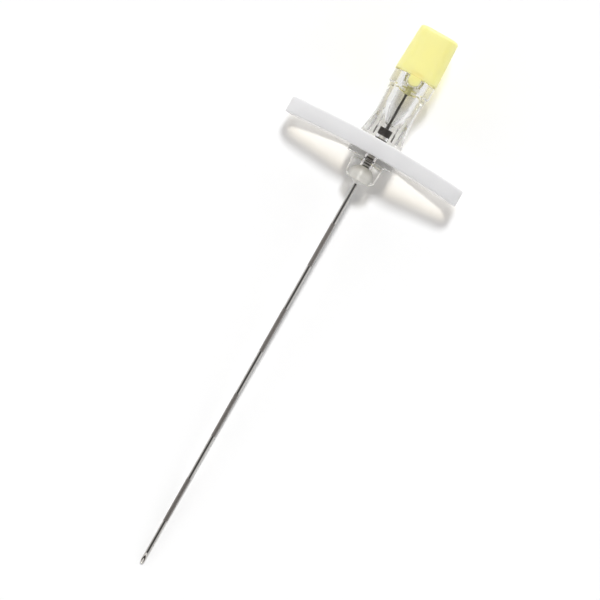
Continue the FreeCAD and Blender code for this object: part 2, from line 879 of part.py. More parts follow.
made = [
    make_cannula(),
    make_anchor_sleeve(),
    make_hub(),
    make_wing(),
    make_adhesive(),
    make_stylet_wire(),
    make_stylet_cap(),
]
lay_down(made)
check_all(made)

os.makedirs("parts", exist_ok=True)
for node, piece in zip(NODES, made):
    if piece.Label != node:
        raise RuntimeError(f"{piece.Label} stands where {node} should")
    piece.Shape.exportStep(f"parts/{node}.step")
    box = piece.Shape.BoundBox
    print(f"{node}: volume {piece.Shape.Volume:.3f}, x {box.XMin:.2f} to {box.XMax:.2f}, "
          f"z {box.ZMin:.3f} to {box.ZMax:.2f}")
place = made[0].Placement
print(f"needle frame at {place.Base.x:.4f}, {place.Base.z:.4f}, slope {math.degrees(place.Rotation.Angle):.4f}")
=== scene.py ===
import logging
import math
from dataclasses import dataclass, field
from enum import Enum, IntEnum
from typing import Callable, Optional, Sequence, Union

import bmesh
import bpy
from mathutils import Matrix, Vector


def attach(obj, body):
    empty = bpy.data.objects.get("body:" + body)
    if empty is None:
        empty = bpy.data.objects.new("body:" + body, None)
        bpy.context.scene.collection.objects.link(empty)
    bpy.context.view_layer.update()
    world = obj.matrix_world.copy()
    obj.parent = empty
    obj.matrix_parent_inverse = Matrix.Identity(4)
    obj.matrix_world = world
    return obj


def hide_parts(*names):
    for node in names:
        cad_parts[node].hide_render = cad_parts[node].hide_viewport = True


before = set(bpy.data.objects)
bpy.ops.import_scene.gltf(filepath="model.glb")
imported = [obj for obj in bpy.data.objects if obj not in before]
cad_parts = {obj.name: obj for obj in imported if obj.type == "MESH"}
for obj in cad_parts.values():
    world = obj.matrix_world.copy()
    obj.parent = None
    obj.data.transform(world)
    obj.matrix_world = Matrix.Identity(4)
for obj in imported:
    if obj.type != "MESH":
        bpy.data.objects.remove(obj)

# Looks of the epidural needle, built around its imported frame.
# Lengths are in millimetres in the needle's own frame, as in the construction model: X runs along
# the cannula to the tip, the hub's nose face is at X = 0, and +Z is the side of the bevel and key.

LOG = logging.getLogger("epidural_needle")
MM = 0.001
WHITE = (1.0, 1.0, 1.0, 1.0)
RAY_BOUNCES = 48
SHELL_CREASE_DEG = 32.0
CAD_CREASE_DEG = 40.0
# Greatest share of a side that one corner's rounding may take.
SIDE_SHARE = 0.49
# Cosine of the widest angle between the bevel's direction and a face that counts as ground.
BEVEL_MATCH = 0.998
# How fast a wall's shadow darkens as the wall turns edge-on to the lamp.
GRAZING_POWER = 3.0
RELIEF_DETAIL = 3.0
DRIFT_DETAIL = 2.0
# Socket numbers of the node that mixes two values or two colours.
VALUE_A, VALUE_B, COLOUR_A, COLOUR_B = 2, 3, 6, 7
COLOUR_OUT = 2

Point = tuple[float, float, float]
Place = tuple[float, float]
Profile = list[Place]
Colour = tuple[float, float, float, float]
Socket = bpy.types.NodeSocket


class Body(Enum):
    """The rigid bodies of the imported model."""

    NEEDLE = "needle"
    STYLET = "stylet"


class SleevePart(IntEnum):
    """Material numbers on the sleeve."""

    LAND = 0
    GROOVE = 1


class WingPart(IntEnum):
    """Material numbers on the wing."""

    FRONT = 0
    REAR = 1
    WEB = 2


@dataclass(frozen=True)
class NeedleFrame:
    """Where the needle's own frame lies in the row frame.

    Attributes:
        origin: place of the nose face's centre in the row frame, in mm.
        slope_deg: how far the tip's end hangs down from level.
        bevel_deg: slope of the ground bevel against the axis.
        bevel_start: place along the axis, in mm, from which faces may belong to the bevel.
    """

    origin: Point = (-27.7835, 0.0, 5.3535)
    slope_deg: float = 3.2109
    bevel_deg: float = 7.5
    bevel_start: float = 86.0

    @property
    def axis(self) -> Vector:
        """Direction of the cannula in the row frame, towards the tip."""
        slope = math.radians(self.slope_deg)
        return Vector((math.cos(slope), 0.0, -math.sin(slope)))

    @property
    def upward(self) -> Vector:
        """Direction of the needle's +Z in the row frame."""
        slope = math.radians(self.slope_deg)
        return Vector((math.sin(slope), 0.0, math.cos(slope)))

    @property
    def bevel_normal(self) -> Vector:
        """Direction that the ground bevel faces in the row frame."""
        lean = math.radians(self.bevel_deg)
        return self.axis * math.sin(lean) + self.upward * math.cos(lean)

    def to_row(self, point: Point) -> Vector:
        """Takes a point from the needle's frame to the row frame.

        Args:
            point: place in mm in the needle's frame.

        Returns:
            The same place in metres in the row frame.
        """
        x, y, z = point
        place = Vector(self.origin) + self.axis * x + self.upward * z
        place.y += y
        return place * MM


NEEDLE = NeedleFrame()


# Meshes


@dataclass
class Shell:
    """Vertices and faces of one piece, gathered in the needle's frame."""

    vertices: list[Point] = field(default_factory=list)
    faces: list[tuple[int, ...]] = field(default_factory=list)

    def tube(self, rings: Sequence[Sequence[Point]], closed: bool = False) -> None:
        """Adds closed rows of points and joins each to the next with a band of quads.

        Args:
            rings: the rows, all of equal length.
            closed: whether the last row joins the first, as round a ring. Otherwise the first and
                the last get a lid.
        """
        count = len(rings[0])
        rows = []
        for ring in rings:
            first = len(self.vertices)
            self.vertices.extend(ring)
            rows.append(range(first, first + count))
        following = rows[1:] + rows[:1] if closed else rows[1:]
        for row, other in zip(rows, following):
            for here in range(count):
                there = (here + 1) % count
                self.faces.append((row[here], row[there], other[there], other[here]))
        if not closed:
            self.faces += [tuple(reversed(rows[0])), tuple(rows[-1])]

    def lathe(
        self, profile: Profile, count: int, limit: Optional[Callable[[float, float], float]] = None
    ) -> None:
        """Turns a closed profile about the needle's axis.

        Args:
            profile: (place along the axis, radius) of each point.
            count: number of points round the axis.
            limit: greatest radius at a place along the axis and an angle from +Z.
        """
        rings = []
        step = 2 * math.pi / count
        for x, radius in profile:
            ring = []
            for turn in range(count):
                angle = step * turn
                reach = radius if limit is None else min(radius, limit(x, angle))
                ring.append((x, reach * math.sin(angle), reach * math.cos(angle)))
            rings.append(ring)
        self.tube(rings, closed=True)

    def build(
        self,
        name: str,
        body: Body,
        slot: str,
        nodes: Sequence[str],
        materials: Sequence[bpy.types.Material],
    ) -> bpy.types.Object:
        """Makes the object, shades it smooth between creases and lets it stand for its CAD nodes.

        Args:
            name: the piece's name.
            body: the rigid body it rides.
            slot: the record's material slot; not used.
            nodes: CAD nodes it replaces.
            materials: its finishes, in the order of their numbers.

        Returns:
            The new object.
        """
        mesh = bpy.data.meshes.new(name)
        mesh.from_pydata([NEEDLE.to_row(vertex) for vertex in self.vertices], [], self.faces)
        mesh.validate()
        mesh.shade_smooth()
        mesh.set_sharp_from_angle(angle=math.radians(SHELL_CREASE_DEG))
        piece = bpy.data.objects.new(name, mesh)
        bpy.context.scene.collection.objects.link(piece)
        face_outward(piece)
        for material in materials:
            mesh.materials.append(material)
        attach(piece, body.value)
        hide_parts(*nodes)
        LOG.info("%s: %d vertices, %d faces", name, len(mesh.vertices), len(mesh.polygons))
        return piece


def face_outward(piece: bpy.types.Object) -> None:
    """Turns all faces of a closed mesh outward.

    Args:
        piece: the mesh object.
    """
    work = bmesh.new()
    work.from_mesh(piece.data)
    bmesh.ops.recalc_face_normals(work, faces=work.faces)
    work.to_mesh(piece.data)
    work.free()


def arc_points(start: Place, end: Place, radius: float, count: int) -> Profile:
    """Points of an arc between two places, without the places themselves.

    Args:
        start: the arc's first place.
        end: its last place.
        radius: its radius. A positive one bows to the left of the way, a negative one to the right.
        count: number of points between the ends.

    Returns:
        The points in order.
    """
    first, last = Vector(start), Vector(end)
    chord = last - first
    left = Vector((-chord.y, chord.x)).normalized()
    half = chord.length / 2
    drop = math.sqrt(max(radius * radius - half * half, 0.0))
    centre = (first + last) / 2 - left * math.copysign(drop, radius)
    begin = math.atan2(first.y - centre.y, first.x - centre.x)
    sweep = math.atan2(last.y - centre.y, last.x - centre.x) - begin
    sweep = (sweep + math.pi) % (2 * math.pi) - math.pi
    size = abs(radius)
    points = []
    for number in range(1, count + 1):
        angle = begin + sweep * number / (count + 1)
        points.append((centre.x + size * math.cos(angle), centre.y + size * math.sin(angle)))
    return points


def rounded_loop(corners: Sequence[Point], steps: int = 4) -> Profile:
    """Rounds the corners of a closed outline.

    Args:
        corners: (across, up, rounding) of each corner. A rounding of 0 leaves the corner as it is.
        steps: number of segments in each round.

    Returns:
        The outline's points in order.
    """
    points: Profile = []
    for number, (across, up, rounding) in enumerate(corners):
        here = Vector((across, up))
        if rounding <= 0:
            points.append((across, up))
            continue
        before = Vector(corners[number - 1][:2]) - here
        after = Vector(corners[(number + 1) % len(corners)][:2]) - here
        turn = before.angle(after)
        side = min(before.length, after.length)
        back = min(rounding / math.tan(turn / 2), side * SIDE_SHARE)
        start = here + before.normalized() * back
        end = here + after.normalized() * back
        for step in range(steps + 1):
            part = step / steps
            bent = start.lerp(here, part).lerp(here.lerp(end, part), part)
            points.append((bent.x, bent.y))
    return points


def spread(profile: Profile, longest: float) -> Profile:
    """Adds points to a closed outline so that no step is longer than a limit.

    Args:
        profile: the outline's points.
        longest: longest step between two neighbours.

    Returns:
        The finer outline.
    """
    finer: Profile = []
    for number, start in enumerate(profile):
        end = profile[(number + 1) % len(profile)]
        parts = max(1, math.ceil(math.dist(start, end) / longest))
        for part in range(parts):
            share = part / parts
            x = start[0] + (end[0] - start[0]) * share
            y = start[1] + (end[1] - start[1]) * share
            finer.append((x, y))
    return finer


# Materials


def linear(colour: str) -> Colour:
    """Linear colour of an sRGB hex code.

    Args:
        colour: six hex digits with a leading #.

    Returns:
        Red, green, blue and an alpha of 1.
    """
    parts = [int(colour[place:place + 2], 16) / 255 for place in (1, 3, 5)]
    made = [part / 12.92 if part <= 0.04045 else ((part + 0.055) / 1.055) ** 2.4 for part in parts]
    return (made[0], made[1], made[2], 1.0)


class Graph:
    """The node tree of a material or the world, with one way to add a node."""

    def __init__(self, owner: Union[bpy.types.Material, bpy.types.World]) -> None:
        """Empties the owner's tree.

        Args:
            owner: the material or world that the tree belongs to.
        """
        self.owner = owner
        owner.use_nodes = True
        self.tree = owner.node_tree
        self.tree.nodes.clear()

    @classmethod
    def of_material(cls, name: str) -> "Graph":
        """The empty tree of a new material.

        Args:
            name: what the material is and how it was made.

        Returns:
            The graph.
        """
        return cls(bpy.data.materials.new(name))

    def add(
        self, kind: str, inputs: Optional[dict] = None, output: Union[int, str] = 0, **settings
    ) -> Socket:
        """Adds a node with its settings and links.

        Args:
            kind: the node's type name without its common prefix.
            inputs: value or output socket for each input, by name or number.
            output: the output that is wanted, by name or number.
            settings: attributes of the node.

        Returns:
            The wanted output.
        """
        node = self.tree.nodes.new(f"ShaderNode{kind}")
        for key, value in settings.items():
            setattr(node, key, value)
        for key, value in (inputs or {}).items():
            if isinstance(value, Socket):
                self.tree.links.new(value, node.inputs[key])
            else:
                node.inputs[key].default_value = value
        return node.outputs[output]

    def needle_place(self, unit_mm: Point = (1.0, 1.0, 1.0)) -> Socket:
        """The surface's place in the needle's own frame.

        Args:
            unit_mm: length in mm that counts as 1 along each axis.

        Returns:
            The vector socket.
        """
        place = self.add("TexCoord", output="Object")
        steps = {
            "Vector": place,
            "Location": Vector(NEEDLE.origin) * MM,
            "Rotation": (0.0, math.radians(NEEDLE.slope_deg), 0.0),
            "Scale": Vector(unit_mm) * MM,
        }
        return self.add("Mapping", steps, vector_type="TEXTURE")

    def relief(self, grain_mm: Point, depth_mm: float) -> Socket:
        """Fine unevenness of a surface.

        Args:
            grain_mm: size of one grain along the needle, across it and upward.
            depth_mm: height from the grain's valleys to its peaks.

        Returns:
            The normal socket for the shader.
        """
        place = self.needle_place(grain_mm)
        grain = {"Vector": place, "Scale": 1.0, "Detail": RELIEF_DETAIL}
        height = self.add("TexNoise", grain)
        return self.add("Bump", {"Distance": depth_mm * MM, "Height": height})

    def mottled(self, colour: str, other: str, patch_mm: Point) -> Socket:
        """A colour that drifts softly between two tints.

        Args:
            colour: the first tint.
            other: the second tint.
            patch_mm: size of one patch along the needle, across it and upward.

        Returns:
            The colour socket.
        """
        place = self.needle_place(patch_mm)
        patches = {"Vector": place, "Scale": 1.0, "Detail": DRIFT_DETAIL}
        drift = self.add("TexNoise", patches)
        tints = {"Factor": drift, COLOUR_A: linear(colour), COLOUR_B: linear(other)}
        return self.add("Mix", tints, COLOUR_OUT, data_type="RGBA")

    def on_bevel(self) -> Socket:
        """Tells the ground bevel at the tip from the rest of the steel.

        Returns:
            A socket with 1 on the bevel and 0 elsewhere.
        """
        facing = self.add("NewGeometry", output="True Normal")
        ways = {0: facing, 1: NEEDLE.bevel_normal}
        match = self.add("VectorMath", ways, "Value", operation="DOT_PRODUCT")
        flat = self.add("Math", {0: match, 1: BEVEL_MATCH}, operation="GREATER_THAN")
        along = self.add("SeparateXYZ", {0: self.needle_place()}, "X")
        at_tip = self.add("Math", {0: along, 1: NEEDLE.bevel_start}, operation="GREATER_THAN")
        return self.add("Math", {0: flat, 1: at_tip}, operation="MULTIPLY")

    def let_light_pass(self, shader: Socket, clear: str, steep: str) -> Socket:
        """Lets lamp light through to the table, and less of it where the wall stands steep.

        Args:
            shader: the look for all other rays.
            clear: tint of light that meets the wall squarely.
            steep: tint of light that grazes it.

        Returns:
            The shader with the tinted shadow.
        """
        facing = self.add("LayerWeight", {"Blend": 0.5}, "Facing")
        grazing = self.add("Math", {0: facing, 1: GRAZING_POWER}, operation="POWER")
        tints = {"Factor": grazing, COLOUR_A: linear(clear), COLOUR_B: linear(steep)}
        tint = self.add("Mix", tints, COLOUR_OUT, data_type="RGBA")
        passing = self.add("BsdfTransparent", {"Color": tint})
        is_shadow = self.add("LightPath", output="Is Shadow Ray")
        return self.add("MixShader", {0: is_shadow, 1: shader, 2: passing})

    def finish(self, shader: Socket) -> Union[bpy.types.Material, bpy.types.World]:
        """Ends the tree in the owner's surface.

        Args:
            shader: the surface's shader socket.

        Returns:
            The material or the world.
        """
        kind = "World" if isinstance(self.owner, bpy.types.World) else "Material"
        ending = self.tree.nodes.new(f"ShaderNodeOutput{kind}")
        self.tree.links.new(shader, ending.inputs["Surface"])
        return self.owner


@dataclass(frozen=True)
class GroundBevel:
    """Steel ground on a wheel and then blasted, as on the bevel at the tip.

    It scatters the light, and its colour is painted far lighter than the tube's steel, a painted
    highlight, so it looks light from all sides, with faint streaks from the wheel.
    """

    # Painted highlight: these colours are lighter than any steel, so the bevel reads light.
    colour: str = "#f9f7f4"
    wheel_mark_colour: str = "#cfcbc6"
    roughness: float = 0.85
    wheel_mark: Point = (0.04, 3.0, 3.0)

    def lay_over(
        self, graph: Graph, colour: Union[Socket, Colour], roughness: Union[Socket, float]
    ) -> tuple[Socket, Socket]:
        """Puts the ground finish on the bevel and leaves the rest as it is.

        Args:
            graph: the tree of the steel.
            colour: the steel's colour off the bevel.
            roughness: the steel's roughness off the bevel.

        Returns:
            The colour socket and the roughness socket.
        """
        bevel = graph.on_bevel()
        ground = graph.mottled(self.colour, self.wheel_mark_colour, self.wheel_mark)
        tints = {"Factor": bevel, COLOUR_A: colour, COLOUR_B: ground}
        mixed = graph.add("Mix", tints, COLOUR_OUT, data_type="RGBA")
        gloss = graph.add("Mix", {"Factor": bevel, VALUE_A: roughness, VALUE_B: self.roughness})
        return mixed, gloss


@dataclass(frozen=True)
class BandedSteel:
    """Drawn stainless tube, polished, with a matte band etched into it every second centimetre.

    The polish gives dark and bright streaks along the tube. The etched bands scatter them to one
    even warm grey, and that change is what the eye reads as the depth marks.
    """

    polished_colour: str = "#bebbb7"
    etched_colour: str = "#9c9793"
    etched_patch_colour: str = "#807b77"
    polished_roughness: float = 0.2
    etched_roughness: float = 0.46
    band_length: float = 10.0
    first_etched: float = 10.0
    last_etched: float = 80.0
    edge_width: float = 0.25
    drawing_line: Point = (8.0, 0.06, 0.06)
    drawing_depth: float = 0.0006
    etched_patch: Point = (0.5, 0.25, 0.25)
    bevel: GroundBevel = GroundBevel()

    def material(self) -> bpy.types.Material:
        """The steel with its etched bands, drawing lines and ground bevel.

        Returns:
            The new material.
        """
        graph = Graph.of_material("stainless_drawn_polished_etched_bands")
        along = graph.add("SeparateXYZ", {0: graph.needle_place()}, "X")
        pace = {0: along, 1: math.pi / self.band_length}
        turned = graph.add("Math", pace, operation="MULTIPLY")
        swing = graph.add("Math", {0: turned}, operation="SINE")
        sharpness = self.band_length / (math.pi * self.edge_width)
        edges = {0: swing, 1: -sharpness, 2: 0.5}
        etched = graph.add("Math", edges, operation="MULTIPLY_ADD", use_clamp=True)
        behind = graph.add("Math", {0: along, 1: self.first_etched}, operation="GREATER_THAN")
        before = graph.add("Math", {0: along, 1: self.last_etched}, operation="LESS_THAN")
        inside = graph.add("Math", {0: behind, 1: before}, operation="MULTIPLY")
        share = graph.add("Math", {0: etched, 1: inside}, operation="MULTIPLY")
        pitted = graph.mottled(self.etched_colour, self.etched_patch_colour, self.etched_patch)
        tints = {"Factor": share, COLOUR_A: linear(self.polished_colour), COLOUR_B: pitted}
        banded = graph.add("Mix", tints, COLOUR_OUT, data_type="RGBA")
        glosses = {VALUE_A: self.polished_roughness, VALUE_B: self.etched_roughness}
        gloss = graph.add("Mix", {"Factor": share, **glosses})
        colour, roughness = self.bevel.lay_over(graph, banded, gloss)
        lines = graph.relief(self.drawing_line, self.drawing_depth)
        look = {"Base Color": colour, "Metallic": 1.0, "Roughness": roughness, "Normal": lines}
        return graph.finish(graph.add("BsdfPrincipled", look))


@dataclass(frozen=True)
class WireSteel:
    """Hard-drawn stainless wire, its end ground with the tube's bevel.

    Fine lines run along it from the drawing die. Its steel colour is painted dark, a painted dark
    reflection. The ground end is as light as the bevel round it.
    """

    # Painted dark reflection: far darker than the steel's own colour.
    colour: str = "#6b6864"
    roughness: float = 0.3
    drawing_line: Point = (8.0, 0.06, 0.06)
    drawing_depth: float = 0.001
    bevel: GroundBevel = GroundBevel()

    def material(self) -> bpy.types.Material:
        """The steel with its drawing lines and ground end.

        Returns:
            The new material.
        """
        graph = Graph.of_material("stainless_wire_drawn_painted_dark")
        colour, roughness = self.bevel.lay_over(graph, linear(self.colour), self.roughness)
        lines = graph.relief(self.drawing_line, self.drawing_depth)
        look = {"Base Color": colour, "Metallic": 1.0, "Roughness": roughness, "Normal": lines}
        return graph.finish(graph.add("BsdfPrincipled", look))


@dataclass(frozen=True)
class TurnedSteel:
    """Stainless steel from a lathe. The tool leaves fine rings that break up its shine."""

    name: str
    colour: str
    worn_colour: str
    roughness: float
    tool_line: Point = (0.05, 30.0, 30.0)
    tool_depth: float = 0.004
    patch: Point = (0.8, 0.3, 0.3)

    def material(self) -> bpy.types.Material:
        """The steel with its tool marks.

        Returns:
            The new material.
        """
        graph = Graph.of_material(self.name)
        colour = graph.mottled(self.colour, self.worn_colour, self.patch)
        rings = graph.relief(self.tool_line, self.tool_depth)
        look = {"Base Color": colour, "Metallic": 1.0, "Roughness": self.roughness, "Normal": rings}
        return graph.finish(graph.add("BsdfPrincipled", look))


@dataclass(frozen=True)
class ClearPlastic:
    """Crystal-clear polycarbonate from a polished mould, with a grey tint that is painted shade.

    It bends the light like a lens, so walls and flutes show as bright and grey lines. Long faint
    waves, left where the melt flowed along the core, break those lines up. Its shadow is light in
    the middle and darker where a wall stands steep to the lamp.
    """

    # Painted shade: this grey tint stands in for the hub's own shadow seen through it.
    colour: str = "#ebebeb"
    roughness: float = 0.04
    refraction: float = 1.585
    flow_wave: Point = (7.0, 1.1, 1.1)
    flow_depth: float = 0.018
    shadow_clear: str = "#d0cec9"
    shadow_steep: str = "#878480"

    def material(self) -> bpy.types.Material:
        """The clear plastic with its flow waves and its light shadow.

        Returns:
            The new material.
        """
        graph = Graph.of_material("polycarbonate_moulded_clear_painted_grey")
        look = {
            "Base Color": linear(self.colour),
            "Roughness": self.roughness,
            "IOR": self.refraction,
            "Transmission Weight": 1.0,
            "Normal": graph.relief(self.flow_wave, self.flow_depth),
        }
        glassy = graph.add("BsdfPrincipled", look)
        return graph.finish(graph.let_light_pass(glassy, self.shadow_clear, self.shadow_steep))


@dataclass(frozen=True)
class FrostedPlastic:
    """Polypropylene from a mould with a spark-eroded matte grain.

    Light spreads inside it, so it looks even and milky, and a thin wall lets a warm glow through to
    the table. The grain is drawn a little coarser than the mould's, so that it shows close up.
    """

    name: str
    shadow_clear: str
    shadow_steep: str
    colour: str = "#e8e8e9"
    flow_colour: str = "#e2e2e3"
    roughness: float = 0.5
    spread_mm: float = 1.2
    through: float = 0.25
    grain: Point = (0.16, 0.16, 0.16)
    grain_depth: float = 0.01
    flow_patch: Point = (4.0, 7.0, 4.0)

    def material(self) -> bpy.types.Material:
        """The frosted plastic with its grain, flow clouds and translucent walls.

        Returns:
            The new material.
        """
        graph = Graph.of_material(self.name)
        colour = graph.mottled(self.colour, self.flow_colour, self.flow_patch)
        grained = graph.relief(self.grain, self.grain_depth)
        look = {
            "Base Color": colour,
            "Roughness": self.roughness,
            "Subsurface Weight": 1.0,
            "Subsurface Radius": (1.0, 1.0, 1.0),
            "Subsurface Scale": self.spread_mm * MM,
            "Normal": grained,
        }
        solid = graph.add("BsdfPrincipled", look)
        glow = graph.add("BsdfTranslucent", {"Color": colour, "Normal": grained})
        mixed = graph.add("MixShader", {0: self.through, 1: solid, 2: glow})
        return graph.finish(graph.let_light_pass(mixed, self.shadow_clear, self.shadow_steep))


@dataclass(frozen=True)
class Epoxy:
    """Clear two-part epoxy, cured with fine bubbles that make it cloudy and uneven."""

    colour: str = "#fbfaf6"
    bubble_colour: str = "#f3f1ec"
    roughness: float = 0.12
    clearness: float = 0.25
    bubble: Point = (0.35, 0.35, 0.35)
    bubble_depth: float = 0.05

    def material(self) -> bpy.types.Material:
        """The epoxy with its bubbles.

        Returns:
            The new material.
        """
        graph = Graph.of_material("epoxy_cured_cloudy")
        colour = graph.mottled(self.colour, self.bubble_colour, self.bubble)
        bubbly = graph.relief(self.bubble, self.bubble_depth)
        look = {"Base Color": colour, "Roughness": self.roughness, "Normal": bubbly}
        cloudy = graph.add("BsdfPrincipled", look)
        clear = graph.add("BsdfTransparent", {"Color": linear(self.colour)})
        shader = graph.add("MixShader", {0: self.clearness, 1: cloudy, 2: clear})
        return graph.finish(shader)


# Pieces


def dress(node: bpy.types.Object, material: bpy.types.Material) -> None:
    """Gives a CAD node its finish and shades it smooth between its edges.

    Args:
        node: the CAD node, which keeps its mesh.
        material: its finish.
    """
    node.data.materials.clear()
    node.data.materials.append(material)
    node.data.shade_smooth()
    node.data.set_sharp_from_angle(angle=math.radians(CAD_CREASE_DEG))
    LOG.info("%s: CAD mesh with a new finish", node.name)


@dataclass
class Cannula:
    """The steel tube. It keeps its CAD mesh."""

    finish: BandedSteel = field(default_factory=BandedSteel)

    def build(self) -> None:
        """Gives the CAD node its finish."""
        dress(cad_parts["cannula"], self.finish.material())


@dataclass
class StyletWire:
    """The wire inside the cannula. It keeps its CAD mesh."""

    finish: WireSteel = field(default_factory=WireSteel)

    def build(self) -> None:
        """Gives the CAD node its finish."""
        dress(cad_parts["stylet_wire"], self.finish.material())


@dataclass
class AnchorSleeve:
    """The grooved steel sleeve that ties the cannula to the hub.

    Behind the wing each land presses a hair into the plastic that was moulded round it,
    so no air film lies between land and plastic, and the clear plastic magnifies it.
    The grooves keep their air, and so does the row at the front, where the plastic has
    shrunk away. Each land's steel is painted near black, a painted dark reflection, and
    each groove floor is painted near white, a painted bright reflection: one steel in a
    shaded and a lit copy.
    """

    back_x: float = -11.75
    front_x: float = -3.2
    radius: float = 0.85
    bore_radius: float = 0.46
    head: float = 1.7
    groove_width: float = 0.3
    groove_depth: float = 0.14
    grip_length: float = 2.45
    grip_pitch: float = 0.62
    grip_grooves: int = 4
    press: float = 0.01
    air_film: float = 0.01
    count: int = 96
    # Painted light: the land steel is painted near black and the groove floor steel near white.
    painted_dark_lands: TurnedSteel = TurnedSteel("stainless_sleeve_painted_dark", "#3f3c3a", "#565250", 0.45)
    painted_bright_floors: TurnedSteel = TurnedSteel("stainless_groove_painted_bright", "#f6f4f0", "#eae8e4", 0.6)

    def groove_starts(self) -> list[float]:
        """Places of the grooves: one in front of the head, the others in a row at the front.

        Returns:
            Where each groove starts along the axis.
        """
        first = self.front_x - self.grip_length
        row = [first + self.grip_pitch * number for number in range(self.grip_grooves)]
        return [self.back_x + self.head, *row]

    def build(self) -> None:
        """Builds the sleeve in place of its CAD node."""
        bonded = self.radius + self.press
        loose = self.radius - self.air_film
        floor = self.radius - self.groove_depth
        profile: Profile = [(self.back_x, self.bore_radius), (self.back_x, bonded)]
        land = bonded
        for number, start in enumerate(self.groove_starts()):
            end = start + self.groove_width
            profile += [(start, land), (start, floor), (end, floor)]
            land = bonded if number == 0 else loose
            profile.append((end, land))
        profile += [(self.front_x, loose), (self.front_x, self.bore_radius)]
        shell = Shell()
        shell.lathe(profile, self.count)
        finishes = {SleevePart.LAND: self.painted_dark_lands, SleevePart.GROOVE: self.painted_bright_floors}
        materials = [finishes[part].material() for part in SleevePart]
        piece = shell.build(
            "anchor_sleeve_look", Body.NEEDLE, "sleeve_steel", ["anchor_sleeve"], materials
        )
        # The end and the head come first. A groove is two walls and a floor, and a land follows it.
        bands_before, bands_in_groove, bands_to_next = 2, 3, 4
        for number in range(len(self.groove_starts())):
            first = (bands_before + bands_to_next * number) * self.count
            for face in piece.data.polygons[first:first + bands_in_groove * self.count]:
                face.material_index = SleevePart.GROOVE


